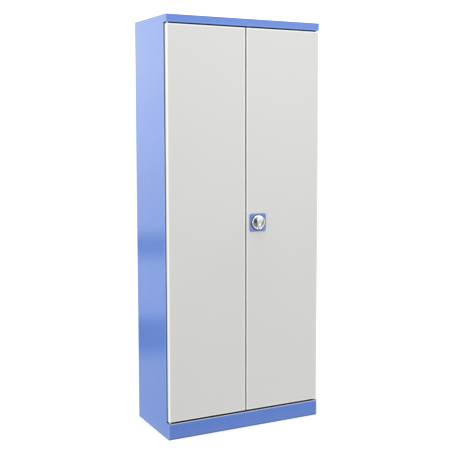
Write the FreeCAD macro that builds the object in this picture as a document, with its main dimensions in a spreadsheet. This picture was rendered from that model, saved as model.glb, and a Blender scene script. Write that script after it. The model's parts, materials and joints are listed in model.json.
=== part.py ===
import FreeCAD, Part
import math
import os
import Sketcher

# A tall steel cabinet with two overlay doors, a three-point turn-knob lock and four loose shelves.
# X runs to the right seen from the front, Y backwards from the front plane, Z up from the floor.
# Every piece is drawn behind a front plane at y = 0 and then moved so that the box is centred.

os.makedirs("parts", exist_ok=True)
doc = FreeCAD.newDocument("tool_cabinet")

sizes = {
    # carcass
    "cabinet_width": 800.0,
    "cabinet_depth": 400.0,
    "cabinet_height": 1950.0,
    "sheet_gauge": 1.0,
    "bend_radius": 2.0,
    "header_height": 35.0,
    "plinth_height": 77.0,
    "front_flange": 30.0,
    "front_lip": 12.0,
    "rear_flange": 15.0,
    "corner_return": 5.0,
    "face_return": 7.0,
    "base_flange": 15.0,
    "stop_lip": 20.0,
    "stop_foot": 15.0,
    "anchor_radius": 4.0,
    "anchor_spacing": 600.0,
    "anchor_drop": 100.0,
    # doors
    "door_thickness": 24.0,
    "door_rear_gap": 3.0,
    "door_top_gap": 7.0,
    "door_bottom_gap": 7.0,
    "door_centre_gap": 6.5,
    "door_side_inset": 3.0,
    "door_edge_radius": 1.6,
    "door_return": 18.0,
    "stiffener_width": 60.0,
    "stiffener_depth": 20.0,
    "stiffener_flange": 15.0,
    "stiffener_end_gap": 25.0,
    # hinges
    "hinge_inset": 10.5,
    "hinge_setback": 12.0,
    "hinge_pin_radius": 4.0,
    "hinge_pin_reach": 12.0,
    "hinge_pin_head": 4.0,
    "running_gap": 0.05,
    "bush_wall": 1.0,
    "hinge_plate_gauge": 3.0,
    "hinge_plate_length": 60.0,
    "washer_radius": 4.9,
    "buffer_radius": 4.5,
    "buffer_gap": 0.3,
    "buffer_spread": 30.0,
    # shelves
    "upright_width": 25.0,
    "upright_depth": 8.0,
    "upright_front_set": 60.0,
    "upright_rear_set": 60.0,
    "upright_end_gap": 20.0,
    "slot_width": 16.0,
    "slot_height": 9.0,
    "slot_pitch": 70.0,
    "first_slot": 28.0,
    "shelf_side_gap": 0.5,
    "shelf_front_gap": 1.0,
    "shelf_rear_gap": 2.0,
    "shelf_front_edge": 30.0,
    "shelf_front_return": 12.0,
    "shelf_side_edge": 25.0,
    "shelf_rib_width": 50.0,
    "shelf_rib_depth": 15.0,
    "shelf_rib_flange": 12.0,
    "clip_gauge": 2.0,
    "clip_width": 14.0,
    "clip_ledge": 14.0,
    "clip_hook": 6.0,
    "clip_leg": 14.0,
    # lock, measured from its own axis
    "lock_from_centre": 62.0,
    "lock_height": 995.0,
    "escutcheon_size": 85.0,
    "escutcheon_depth": 6.0,
    "escutcheon_corner": 8.0,
    "escutcheon_edge": 2.0,
    "knob_radius": 34.5,
    "knob_rim": 5.0,
    "knob_gap": 0.8,
    "knob_depth": 7.0,
    "knob_floor": 2.0,
    "knob_reach": 27.0,
    "knob_edge": 1.2,
    "grip_head_radius": 18.5,
    "grip_head_rise": 12.0,
    "grip_tail_radius": 5.0,
    "grip_tail_drop": 33.0,
    "grip_taper": 2.5,
    "hub_radius": 6.8,
    "hub_gap": 0.3,
    "barrel_radius": 7.0,
    "barrel_length": 15.0,
    "core_radius": 5.5,
    "core_proud": 0.3,
    "key_slot_width": 1.4,
    "key_slot_height": 7.0,
    "key_slot_depth": 10.0,
    "spindle_side": 8.0,
    "spindle_gap": 0.05,
    "case_gauge": 1.2,
    "case_half_height": 45.0,
    "case_flange": 12.0,
    "case_clearance": 2.0,
    "gear_module": 1.25,
    "gear_width": 6.0,
    "gear_setback": 5.0,
    "gear_backlash": 0.3,
    "rack_depth": 8.0,
    "rack_rear_gap": 1.0,
    "rod_gauge": 3.0,
    "rod_end_gap": 1.0,
    "rod_play": 0.5,
    "keeper_play": 2.5,
    "tongue_width": 12.0,
    "tongue_gauge": 3.0,
    "tongue_reach": 75.0,
    "tongue_gap": 0.8,
    "tongue_slot_play": 2.5,
    "nut_flats": 13.0,
    "nut_depth": 3.0,
    "guide_length": 20.0,
    "guide_gauge": 1.5,
    "guide_flange": 8.0,
    "guide_set": 60.0,
    # shoot bolts of the left door
    "bolt_from_edge": 32.0,
    "bolt_width": 10.0,
    "bolt_gauge": 4.0,
    "bolt_setback": 9.0,
    "bolt_length": 180.0,
    "bolt_guide_length": 40.0,
    "bolt_guide_set": 40.0,
    "thumb_pin_radius": 4.0,
    "thumb_pin_reach": 9.0,
    "thumb_pin_inset": 20.0,
}

gear_teeth = 18
pressure_angle = math.radians(20)
addendum_share = 1.0
dedendum_share = 1.25
rack_gaps_behind = 7
rack_gaps_ahead = 5
shelf_slots = (4, 9, 15, 20)
nut_sides = 6
half_share = 0.5

sheet = doc.addObject("Spreadsheet::Sheet", "Sizes")
for row, (name, value) in enumerate(sizes.items(), start=1):
    sheet.set(f"A{row}", name)
    sheet.set(f"B{row}", str(value))
    sheet.setAlias(f"B{row}", name)
doc.recompute()


# A length that knows both its value and the sheet formula that it comes from
class Size:
    def __init__(self, value, formula):
        self.value = value
        self.formula = formula

    def __add__(self, other):
        other = as_size(other)
        return Size(self.value + other.value, f"({self.formula} + {other.formula})")

    def __sub__(self, other):
        other = as_size(other)
        return Size(self.value - other.value, f"({self.formula} - {other.formula})")

    def __mul__(self, share):
        return Size(self.value * share, f"({self.formula} * ({share!r}))")

    def __truediv__(self, share):
        return Size(self.value / share, f"({self.formula} / {share!r})")

    def __neg__(self):
        return Size(-self.value, f"(-1 * {self.formula})")


def as_size(thing):
    return thing if isinstance(thing, Size) else Size(float(thing), repr(float(thing)))


def size(name):
    return Size(sizes[name], f"Sizes.{name}")


zero = as_size(0)
gauge = size("sheet_gauge")
bend = size("bend_radius")
outer_bend = gauge + bend
half_width = size("cabinet_width") * half_share
inner_half = half_width - gauge
depth = size("cabinet_depth")
back_face = depth - gauge
height = size("cabinet_height")
header_bottom = height - size("header_height")
plinth_top = size("plinth_height")
door_rear = size("door_thickness")
stop_face = door_rear + size("door_rear_gap")
door_top = header_bottom - size("door_top_gap")
door_bottom = plinth_top + size("door_bottom_gap")
door_inner = size("door_centre_gap") * half_share
door_outer = half_width - size("door_side_inset")
hinge_x = half_width - size("hinge_inset")
hinge_y = size("hinge_setback")
lock_x = size("lock_from_centre")
lock_z = size("lock_height")
pitch_radius = size("gear_module") * (gear_teeth * half_share)
gear_front = size("gear_setback")
gear_rear = gear_front + size("gear_width")
rod_front = gear_rear
rod_rear = rod_front + size("rod_gauge")
rod_x = pitch_radius + size("rack_depth") * half_share
rod_half = size("rack_depth") * half_share
case_half = pitch_radius + size("rack_depth") + size("case_clearance")
case_rear = rod_rear + size("rack_rear_gap") + size("case_gauge")
tongue_front = case_rear + size("tongue_gap")
tongue_rear = tongue_front + size("tongue_gauge")
front_shift = (depth - size("knob_reach")) * -half_share
bolt_x = -(door_inner + size("bolt_from_edge"))
bolt_rear = size("bolt_setback") + size("bolt_gauge")
pieces = []


# Bodies, sketches and features

def new_body(name, at_x=zero, at_y=zero, at_z=zero):
    body = doc.addObject("PartDesign::Body", name)
    body.Label = name
    body.AllowCompound = True
    corner = {"x": at_x, "y": at_y + front_shift, "z": at_z}
    body.Placement.Base = FreeCAD.Vector(corner["x"].value, corner["y"].value, corner["z"].value)
    for key, place in corner.items():
        body.setExpression(f".Placement.Base.{key}", place.formula)
    pieces.append(body)
    return body


def origin_plane(body, role):
    for item in body.Origin.OriginFeatures:
        if item.Role == role:
            return item
    raise ValueError(f"no plane {role}")


def heading(start, end):
    step_x = end[0].value - start[0].value
    step_y = end[1].value - start[1].value
    if abs(step_x) > abs(step_y):
        return (math.copysign(1, step_x), 0)
    return (0, math.copysign(1, step_y))


def along(point, way, length):
    x, y = point
    if way[0]:
        x = x + length * way[0]
    if way[1]:
        y = y + length * way[1]
    return (x, y)


# A closed loop of straight runs, square corners rounded where a corner holds a radius
class Loop:
    def __init__(self, corners):
        self.corners = corners

    def add_to(self, sketch, pins):
        count = len(self.corners)
        ends = []
        for index, corner in enumerate(self.corners):
            point = corner[:2]
            if len(corner) < 3:
                ends.append((point, point, None))
                continue
            into = heading(self.corners[index - 1], corner)
            out = heading(corner, self.corners[(index + 1) % count])
            start = along(point, into, -corner[2])
            end = along(point, out, corner[2])
            ends.append((start, end, (into, out, corner[2])))
        lines = []
        for index in range(count):
            start = ends[index][1]
            end = ends[(index + 1) % count][0]
            lines.append(sketch.addGeometry(Part.LineSegment(vector(start), vector(end)), False))
            pins.append((lines[-1], 1, start))
            if ends[(index + 1) % count][2]:
                pins.append((lines[-1], 2, end))
        for index in range(count):
            start, end, turn = ends[index]
            before = lines[index - 1]
            after = lines[index]
            if turn is None:
                sketch.addConstraint(Sketcher.Constraint("Coincident", before, 2, after, 1))
                continue
            self.add_arc(sketch, start, end, turn, before, after)

    def add_arc(self, sketch, start, end, turn, before, after):
        into, out, radius = turn
        centre = vector(along(start, out, radius))
        left = into[0] * out[1] - into[1] * out[0] > 0
        first, last = (start, end) if left else (end, start)
        spokes = [vector(first) - centre, vector(last) - centre]
        angles = [math.atan2(spoke.y, spoke.x) for spoke in spokes]
        circle = Part.Circle(centre, FreeCAD.Vector(0, 0, 1), radius.value)
        arc = sketch.addGeometry(Part.ArcOfCircle(circle, angles[0], angles[1]), False)
        sketch.addConstraint(Sketcher.Constraint("Coincident", before, 2, arc, 1 if left else 2))
        sketch.addConstraint(Sketcher.Constraint("Coincident", after, 1, arc, 2 if left else 1))
        held = sketch.addConstraint(Sketcher.Constraint("Radius", arc, radius.value))
        sketch.setExpression(f"Constraints[{held}]", radius.formula)


class Circle:
    def __init__(self, x, y, radius):
        self.centre = (x, y)
        self.radius = radius

    def add_to(self, sketch, pins):
        circle = Part.Circle(vector(self.centre), FreeCAD.Vector(0, 0, 1), self.radius.value)
        ring = sketch.addGeometry(circle, False)
        pins.append((ring, 3, self.centre))
        held = sketch.addConstraint(Sketcher.Constraint("Radius", ring, self.radius.value))
        sketch.setExpression(f"Constraints[{held}]", self.radius.formula)


def vector(point):
    return FreeCAD.Vector(point[0].value, point[1].value, 0)


def box_loop(x_low, x_high, y_low, y_high, corner=None):
    corners = [(x_low, y_low), (x_high, y_low), (x_high, y_high), (x_low, y_high)]
    if corner is not None:
        corners = [point + (corner,) for point in corners]
    return Loop(corners)


# The section of a sheet bent square along a path, its gauge on the left (hand 1) or right (-1);
# small folded sections have no radius and keep their corners square
def bent_sheet(path, hand, thickness=gauge, radius=bend):
    ways = [heading(start, end) for start, end in zip(path, path[1:])]
    near = []
    far = []
    for index, point in enumerate(path):
        before = ways[max(index - 1, 0)]
        after = ways[min(index, len(ways) - 1)]
        side = along(point, (-hand * after[1], hand * after[0]), thickness)
        bends = (before[0] * after[1] - before[1] * after[0]) * hand
        if bends:
            side = along(side, (-hand * before[1], hand * before[0]), thickness)
        if radius is None or not bends:
            near.append(point)
            far.append(side)
        elif bends > 0:
            near.append(point + (radius + thickness,))
            far.append(side + (radius,))
        else:
            near.append(point + (radius,))
            far.append(side + (radius + thickness,))
    return Loop(near + far[::-1])


def draw(body, plane, loops, level, name):
    sketch = body.newObject("Sketcher::SketchObject", name)
    sketch.AttachmentSupport = (origin_plane(body, f"{plane}_Plane"), [""])
    sketch.MapMode = "FlatFace"
    sketch.AttachmentOffset = FreeCAD.Placement(
        FreeCAD.Vector(0, 0, level.value), FreeCAD.Rotation())
    sketch.setExpression(".AttachmentOffset.Base.z", level.formula)
    pins = []
    for loop in loops:
        loop.add_to(sketch, pins)
    for element, end, (x, y) in pins:
        across = sketch.addConstraint(
            Sketcher.Constraint("DistanceX", -1, 1, element, end, x.value))
        up = sketch.addConstraint(
            Sketcher.Constraint("DistanceY", -1, 1, element, end, y.value))
        sketch.setExpression(f"Constraints[{across}]", x.formula)
        sketch.setExpression(f"Constraints[{up}]", y.formula)
    sketch.Visibility = False
    return sketch


# The XZ plane faces forwards, so a span of depth starts at its rear end there
def span_level(plane, low, high):
    return -high if plane == "XZ" else low


def pad(body, plane, loops, low, high, name):
    sketch = draw(body, plane, loops, span_level(plane, low, high), f"{name}_sketch")
    feature = body.newObject("PartDesign::Pad", name)
    feature.Profile = sketch
    feature.Length = (high - low).value
    feature.setExpression("Length", (high - low).formula)
    doc.recompute()
    return feature


def cut(body, plane, loops, low, high, name):
    before = body.Shape.Volume
    sketch = draw(body, plane, loops, span_level(plane, low, high), f"{name}_sketch")
    feature = body.newObject("PartDesign::Pocket", name)
    feature.Profile = sketch
    feature.Reversed = True
    feature.Length = (high - low).value
    feature.setExpression("Length", (high - low).formula)
    doc.recompute()
    if not body.Shape.Volume < before:
        raise ValueError(f"{body.Label} {name} cuts nothing")
    return feature


def repeat(body, feature, axis, length, count, name):
    row = body.newObject("PartDesign::LinearPattern", name)
    row.Originals = [feature]
    row.Direction = (feature.Profile[0], [axis])
    row.Length = length.value
    row.setExpression("Length", length.formula)
    row.Occurrences = count
    body.Tip = row
    doc.recompute()
    return row


def soften(body, wanted, radius, name):
    base = body.Tip
    edges = [f"Edge{number}" for number, edge in enumerate(base.Shape.Edges, start=1) if wanted(edge)]
    feature = body.newObject("PartDesign::Fillet", name)
    feature.Base = (base, edges)
    feature.Radius = radius.value
    feature.setExpression("Radius", radius.formula)
    body.Tip = feature
    doc.recompute()
    return feature


def bevel(body, wanted, width, name):
    base = body.Tip
    edges = [f"Edge{number}" for number, edge in enumerate(base.Shape.Edges, start=1) if wanted(edge)]
    feature = body.newObject("PartDesign::Chamfer", name)
    feature.Base = (base, edges)
    feature.Size = width.value
    feature.setExpression("Size", width.formula)
    body.Tip = feature
    doc.recompute()
    return feature


# Edges that lie wholly at one depth, as those round a front face do
def at_depth(level):
    def test(edge):
        box = edge.BoundBox
        return round(box.YMin - level.value, 3) == 0 and round(box.YMax - level.value, 3) == 0
    return test


def mirrored(side, length):
    return length if side > 0 else -length


def ordered(first, second):
    return (first, second) if first.value < second.value else (second, first)


# Carcass

def make_side_panel(name, side):
    body = new_body(name)
    outside = mirrored(side, half_width)
    corner = mirrored(side, half_width - size("corner_return"))
    flange = mirrored(side, half_width - size("front_flange"))
    rear = mirrored(side, half_width - size("rear_flange"))
    door_zone = [(flange, stop_face + size("front_lip")), (flange, stop_face),
                 (outside, stop_face), (outside, back_face), (rear, back_face)]
    end_zone = [(corner, zero), (outside, zero), (outside, back_face), (rear, back_face)]
    pad(body, "XY", [bent_sheet(door_zone, side)], plinth_top, header_bottom, "door_zone")
    pad(body, "XY", [bent_sheet(end_zone, side)], header_bottom, height, "header_ear")
    pad(body, "XY", [bent_sheet(end_zone, side)], zero, plinth_top, "plinth_ear")
    low, high = ordered(mirrored(side, inner_half), mirrored(side, half_width - size("base_flange")))
    foot = box_loop(low, high, size("base_flange"), back_face - size("base_flange"))
    pad(body, "XY", [foot], zero, gauge, "base_flange")
    return body


def pin_holes():
    radius = size("hinge_pin_radius") + size("running_gap")
    return [Circle(-hinge_x, hinge_y, radius), Circle(hinge_x, hinge_y, radius)]


def make_top_panel():
    body = new_body("top_panel")
    path = [(back_face, height - size("rear_flange")), (back_face, height), (zero, height),
            (zero, header_bottom), (size("face_return"), header_bottom)]
    pad(body, "YZ", [bent_sheet(path, 1)], -inner_half, inner_half, "folded_sheet")
    reliefs = []
    for side in (-1, 1):
        edge = mirrored(side, half_width)
        front_x = ordered(mirrored(side, half_width - size("corner_return")), edge)
        rear_x = ordered(mirrored(side, half_width - size("rear_flange")), edge)
        reliefs.append(box_loop(*front_x, zero, outer_bend))
        reliefs.append(box_loop(*rear_x, back_face - outer_bend, depth))
    cut(body, "XY", reliefs, header_bottom, height, "corner_reliefs")
    return body


def make_plinth_front():
    body = new_body("plinth_front")
    path = [(size("face_return"), plinth_top), (zero, plinth_top), (zero, zero),
            (size("face_return"), zero)]
    pad(body, "YZ", [bent_sheet(path, 1)], -inner_half, inner_half, "folded_sheet")
    reliefs = []
    for side in (-1, 1):
        edge = mirrored(side, half_width)
        front_x = ordered(mirrored(side, half_width - size("corner_return")), edge)
        reliefs.append(box_loop(*front_x, zero, outer_bend))
    cut(body, "XY", reliefs, zero, plinth_top, "corner_reliefs")
    return body


def make_floor_panel():
    body = new_body("floor_panel")
    front = stop_face + gauge
    rear = back_face - gauge
    edge_bottom = plinth_top - size("stop_lip")
    path = [(rear, edge_bottom), (rear, plinth_top), (front, plinth_top), (front, edge_bottom)]
    pad(body, "YZ", [bent_sheet(path, 1)], -inner_half, inner_half, "folded_sheet")
    reliefs = []
    for side in (-1, 1):
        rear_x = ordered(mirrored(side, half_width - outer_bend), mirrored(side, half_width))
        reliefs.append(box_loop(*rear_x, rear - bend, depth))
    cut(body, "XY", reliefs, edge_bottom, plinth_top, "corner_reliefs")
    return body


def make_plinth_rear():
    body = new_body("plinth_rear")
    rear = back_face - gauge
    path = [(rear - size("base_flange") + gauge, zero), (rear, zero),
            (rear, plinth_top - size("stop_lip"))]
    reach = half_width - outer_bend
    pad(body, "YZ", [bent_sheet(path, 1)], -reach, reach, "folded_sheet")
    return body


header_rail_level = header_bottom + gauge
plinth_rail_level = plinth_top - gauge
keeper_rear = rod_rear + size("keeper_play")


# A flat rail welded on the header's or plinth's return, behind the row of keeper notches
def make_rail(name, low, rear):
    body = new_body(name)
    reach = half_width - outer_bend
    pad(body, "XY", [box_loop(-reach, reach, keeper_rear, rear)], low, low + gauge, "strip")
    return body


# The tabs between face and rail, with the hinge pins' holes and a notch for each rod and bolt
def make_keeper_tabs(name, low, keeper_x):
    body = new_body(name)
    reach = half_width - outer_bend
    play = size("keeper_play")
    bolt_half = size("bolt_width") * half_share + play
    keeper_half = rod_half + play
    tabs = [(-reach, bolt_x - bolt_half), (bolt_x + bolt_half, keeper_x - keeper_half),
            (keeper_x + keeper_half, reach)]
    loops = [box_loop(left, right, outer_bend, keeper_rear) for left, right in tabs]
    pad(body, "XY", loops, low, low + gauge, "tabs")
    cut(body, "XY", pin_holes(), low, low + gauge, "pin_holes")
    return body


# Angle strips behind the doors' upper and lower ends, which the doors close against
def make_door_stops():
    body = new_body("door_stops")
    reach = half_width - size("front_flange")
    for seat, way, label in ((header_rail_level, 1, "upper_angle"), (plinth_top, -1, "lower_angle")):
        path = [(stop_face, seat - size("stop_lip") * way), (stop_face, seat),
                (stop_face + size("stop_foot"), seat)]
        pad(body, "YZ", [bent_sheet(path, -way)], -reach, reach, label)
    return body


def make_back_panel():
    body = new_body("back_panel")
    pad(body, "XZ", [box_loop(-inner_half, inner_half, zero, height)], back_face, depth, "flat_sheet")
    spread = size("anchor_spacing") * half_share
    level = height - size("anchor_drop")
    holes = [Circle(-spread, level, size("anchor_radius")), Circle(spread, level, size("anchor_radius"))]
    cut(body, "XZ", holes, back_face, depth, "wall_anchor_holes")
    return body


upright_bottom = plinth_top + size("upright_end_gap")
upright_top = header_bottom - size("upright_end_gap")
upright_face = inner_half - size("upright_depth")
front_upright = size("upright_front_set")
rear_upright = depth - size("upright_rear_set") - size("upright_width")


def make_upright(name, side, front):
    body = new_body(name)
    wall = mirrored(side, inner_half)
    face = mirrored(side, upright_face)
    rear = front + size("upright_width")
    path = [(wall, front), (face, front), (face, rear), (wall, rear)]
    pad(body, "XY", [bent_sheet(path, -side, gauge, None)], upright_bottom, upright_top, "channel")
    middle = front + size("upright_width") * half_share
    half_slot = size("slot_width") * half_share
    low = upright_bottom + size("first_slot")
    slot = box_loop(middle - half_slot, middle + half_slot, low, low + size("slot_height"))
    web = ordered(face, mirrored(side, upright_face + gauge))
    first = cut(body, "YZ", [slot], *web, "slot")
    room = (upright_top - upright_bottom - size("first_slot") * 2).value
    count = int(room / size("slot_pitch").value) + 1
    repeat(body, first, "V_Axis", size("slot_pitch") * (count - 1), count, "slots")
    return body


# Shelves stand on clips that hook into the uprights' slots

shelf_half = upright_face - size("shelf_side_gap")
shelf_front = stop_face + size("front_lip") + size("shelf_front_gap")
shelf_rear = back_face - gauge - size("shelf_rear_gap")


def clip_top(slot):
    return upright_bottom + size("first_slot") + size("slot_pitch") * slot + size("clip_gauge")


def shelf_top(slot):
    return clip_top(slot) + size("shelf_side_edge")


def make_shelf(number, slot):
    body = new_body(f"shelf_{number}", at_z=shelf_top(slot))
    edge = -size("shelf_front_edge")
    path = [(shelf_rear, edge), (shelf_rear, zero), (shelf_front, zero), (shelf_front, edge),
            (shelf_front + size("shelf_front_return"), edge)]
    inside = shelf_half - gauge
    pad(body, "YZ", [bent_sheet(path, 1)], -inside, inside, "folded_deck")
    for side, label in ((-1, "left_edge"), (1, "right_edge")):
        span = ordered(mirrored(side, inside), mirrored(side, shelf_half))
        flange = box_loop(shelf_front + outer_bend, shelf_rear - outer_bend,
                          -size("shelf_side_edge"), zero)
        pad(body, "YZ", [flange], *span, label)
    return body


def make_shelf_stiffeners():
    body = new_body("shelf_stiffeners")
    middle = (shelf_front + shelf_rear) * half_share
    half = size("shelf_rib_width") * half_share
    flange = half + size("shelf_rib_flange")
    reach = shelf_half - gauge * 2
    for number, slot in enumerate(shelf_slots, start=1):
        top = shelf_top(slot) - gauge
        drop = top - size("shelf_rib_depth")
        path = [(middle - flange, top), (middle - half, top), (middle - half, drop),
                (middle + half, drop), (middle + half, top), (middle + flange, top)]
        pad(body, "YZ", [bent_sheet(path, -1, gauge, None)], -reach, reach, f"hat_section_{number}")
    return body


def make_shelf_clips(number, slot):
    body = new_body(f"shelf_clips_{number}", at_z=clip_top(slot))
    thick = size("clip_gauge")
    loops = []
    for side in (-1, 1):
        web_front = upright_face
        web_rear = upright_face + gauge
        outline = [(web_rear, -thick), (web_rear, -size("clip_hook")),
                   (web_rear + thick, -size("clip_hook")), (web_rear + thick, zero),
                   (web_front - size("clip_ledge"), zero), (web_front - size("clip_ledge"), -thick),
                   (web_front - thick, -thick), (web_front - thick, -size("clip_leg")),
                   (web_front, -size("clip_leg")), (web_front, -thick)]
        loops.append(Loop([(mirrored(side, x), y) for x, y in outline]))
    half = size("clip_width") * half_share
    for front, label in ((front_upright, "front_pair"), (rear_upright, "rear_pair")):
        middle = front + size("upright_width") * half_share
        pad(body, "XZ", loops, middle - half, middle + half, label)
    return body


# Hinges: welded pins in the header and plinth, bushes and plates in the doors

def make_hinge_pins(name, seat, way):
    body = new_body(name)
    stem = size("hinge_pin_radius")
    door_end = door_top - size("hinge_pin_reach") if way > 0 else door_bottom + size("hinge_pin_reach")
    head_seat = seat + gauge * way
    head_end = head_seat + size("hinge_pin_head") * way
    stems = [Circle(-hinge_x, hinge_y, stem), Circle(hinge_x, hinge_y, stem)]
    heads = [Circle(-hinge_x, hinge_y, size("washer_radius")),
             Circle(hinge_x, hinge_y, size("washer_radius"))]
    pad(body, "XY", stems, *ordered(door_end, head_end), "stems")
    pad(body, "XY", heads, *ordered(head_seat, head_end), "heads")
    return body


def make_thrust_washers():
    body = new_body("thrust_washers")
    bore = size("hinge_pin_radius") + size("running_gap")
    rings = []
    for side in (-1, 1):
        rings.append(Circle(mirrored(side, hinge_x), hinge_y, size("washer_radius")))
        rings.append(Circle(mirrored(side, hinge_x), hinge_y, bore))
    pad(body, "XY", rings, plinth_rail_level, door_bottom, "rings")
    return body


def make_door_buffers():
    body = new_body("door_buffers")
    front = stop_face - size("door_rear_gap") + size("buffer_gap")
    upper = header_bottom - size("stop_lip") * half_share - bend
    lower = plinth_top + size("stop_lip") * half_share + bend
    discs = []
    for side in (-1, 1):
        for level in (upper, lower):
            discs.append(Circle(mirrored(side, size("buffer_spread")), level, size("buffer_radius")))
    pad(body, "XZ", discs, front, stop_face, "discs")
    return body


# Doors: a pan with a returned rim, its hat stiffener and the plates that carry the bushes

bush_radius = size("hinge_pin_radius") + size("running_gap") + size("bush_wall")


def make_door_panel(name, side, slots):
    body = new_body(name)
    low, high = ordered(mirrored(side, door_inner), mirrored(side, door_outer))
    rim = size("door_return")
    pad(body, "XZ", [box_loop(low, high, door_bottom, door_top)], zero, door_rear, "blank")
    cut(body, "XZ", [box_loop(low + gauge, high - gauge, door_bottom + gauge, door_top - gauge)],
        gauge, door_rear - gauge, "hollow")
    cut(body, "XZ", [box_loop(low + rim, high - rim, door_bottom + rim, door_top - rim)],
        door_rear - gauge, door_rear, "rear_opening")
    soften(body, at_depth(zero), size("door_edge_radius"), "front_bend")
    hole = Circle(mirrored(side, hinge_x), hinge_y, bush_radius + size("running_gap"))
    cut(body, "XY", [hole, slots["top"]], door_top - gauge, door_top, "top_wall_holes")
    cut(body, "XY", [hole, slots["bottom"]], door_bottom, door_bottom + gauge, "bottom_wall_holes")
    span = ordered(mirrored(side, door_inner), mirrored(side, door_inner + gauge))
    play = size("tongue_slot_play")
    reach = tongue_slot_reach(side)
    tongue_slot = box_loop(tongue_front - play, tongue_rear + play,
                           lock_z - reach, lock_z + size("tongue_width") * half_share + play)
    cut(body, "YZ", [tongue_slot], *span, "tongue_slot")
    if side > 0:
        hole = Circle(lock_x, lock_z, size("hub_radius") + size("hub_gap"))
        cut(body, "XZ", [hole], zero, gauge, "hub_hole")
    return body


# How far below the lock axis the tongue's end crosses a door's free edge
def tongue_slot_reach(side):
    corner_x = size("tongue_width") * half_share
    tip = size("tongue_reach")
    arm = math.hypot(tip.value, corner_x.value)
    offset = (lock_x - mirrored(side, door_inner + gauge)).value
    drop_share = math.sqrt(max(arm * arm - offset * offset, 0)) / arm
    return tip * drop_share + corner_x + size("tongue_slot_play")


def make_door_stiffener(name, side):
    body = new_body(name)
    middle = mirrored(side, (door_inner + door_outer) * half_share)
    half = size("stiffener_width") * half_share
    flange = half + size("stiffener_flange")
    rise = gauge + size("stiffener_depth")
    path = [(middle - flange, gauge), (middle - half, gauge), (middle - half, rise),
            (middle + half, rise), (middle + half, gauge), (middle + flange, gauge)]
    gap = size("stiffener_end_gap")
    pad(body, "XY", [bent_sheet(path, 1, gauge, None)], door_bottom + gap, door_top - gap, "hat_section")
    return body


def make_hinge_plates(name, side):
    body = new_body(name)
    outer = mirrored(side, door_outer - gauge)
    inner = mirrored(side, door_outer - size("hinge_plate_length"))
    plate = box_loop(*ordered(outer, inner), gauge, door_rear - gauge)
    hole = Circle(mirrored(side, hinge_x), hinge_y, bush_radius + size("running_gap"))
    thick = size("hinge_plate_gauge")
    pad(body, "XY", [plate, hole], door_bottom + gauge, door_bottom + gauge + thick, "lower_plate")
    pad(body, "XY", [plate, hole], door_top - gauge - thick, door_top - gauge, "upper_plate")
    return body


def make_hinge_bushes(name, side):
    body = new_body(name)
    x = mirrored(side, hinge_x)
    bore = Circle(x, hinge_y, size("hinge_pin_radius") + size("running_gap"))
    sleeve = Circle(x, hinge_y, bush_radius)
    wall = gauge + size("hinge_plate_gauge")
    pad(body, "XY", [sleeve, bore], door_bottom, door_bottom + wall, "lower_sleeve")
    pad(body, "XY", [sleeve, bore], door_top - wall, door_top, "upper_sleeve")
    return body


# A hat-shaped strap that holds a flat bar against the back of the door's face
def strap(body, x, half, front, rear, low, high, name):
    thick = size("guide_gauge")
    side = half + size("rod_play")
    flange = side + thick + size("guide_flange")
    top = rear + size("rod_play")
    path = [(x - flange, gauge), (x - side, gauge), (x - side, top),
            (x + side, top), (x + side, gauge), (x + flange, gauge)]
    pad(body, "XY", [bent_sheet(path, 1, thick, None)], low, high, name)


def make_rod_guides():
    body = new_body("rod_guides")
    length = size("guide_length")
    high = door_top - size("guide_set")
    low = door_bottom + size("guide_set")
    strap(body, lock_x - rod_x, rod_half, rod_front, rod_rear, high - length, high, "upper_strap")
    strap(body, lock_x + rod_x, rod_half, rod_front, rod_rear, low, low + length, "lower_strap")
    return body


def make_bolt_guides():
    body = new_body("bolt_guides")
    length = size("bolt_guide_length")
    half = size("bolt_width") * half_share
    high = door_top - size("bolt_guide_set")
    low = door_bottom + size("bolt_guide_set")
    strap(body, bolt_x, half, size("bolt_setback"), bolt_rear, high - length, high, "upper_strap")
    strap(body, bolt_x, half, size("bolt_setback"), bolt_rear, low, low + length, "lower_strap")
    return body


def bar_slot(x, half, front, rear):
    play = size("rod_play")
    return box_loop(x - half - play, x + half + play, front - play, rear + play)


# Shoot bolts of the left door, worked by a thumb pin each

def make_shoot_bolt(name, way):
    body = new_body(name)
    end = door_top - size("rod_end_gap") if way > 0 else door_bottom + size("rod_end_gap")
    start = end - size("bolt_length") * way
    half = size("bolt_width") * half_share
    bar = box_loop(bolt_x - half, bolt_x + half, size("bolt_setback"), bolt_rear)
    pad(body, "XY", [bar], *ordered(start, end), "bar")
    level = start + size("thumb_pin_inset") * way
    hole = Circle(bolt_x, level, size("thumb_pin_radius") * half_share + size("running_gap"))
    cut(body, "XZ", [hole], size("bolt_setback"), bolt_rear, "pin_hole")
    return body


def make_thumb_pin(name, way):
    end = door_top - size("rod_end_gap") if way > 0 else door_bottom + size("rod_end_gap")
    level = end - (size("bolt_length") - size("thumb_pin_inset")) * way
    body = new_body(name, at_x=bolt_x, at_z=level)
    radius = size("thumb_pin_radius")
    tip = bolt_rear + size("thumb_pin_reach")
    pad(body, "XZ", [Circle(zero, zero, radius)], bolt_rear, tip, "head")
    pad(body, "XZ", [Circle(zero, zero, radius * half_share)], size("bolt_setback"), bolt_rear, "shank")
    return body


# Lock, drawn about its own axis

def lock_body(name):
    return new_body(name, at_x=lock_x, at_z=lock_z)


def make_escutcheon():
    body = lock_body("handle_escutcheon")
    half = size("escutcheon_size") * half_share
    front = -size("escutcheon_depth")
    pad(body, "XZ", [box_loop(-half, half, -half, half, size("escutcheon_corner"))], front, zero, "plate")
    bevel(body, at_depth(front), size("escutcheon_edge"), "front_edge")
    cut(body, "XZ", [Circle(zero, zero, size("hub_radius") + size("hub_gap"))], front, zero, "hub_hole")
    return body


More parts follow.
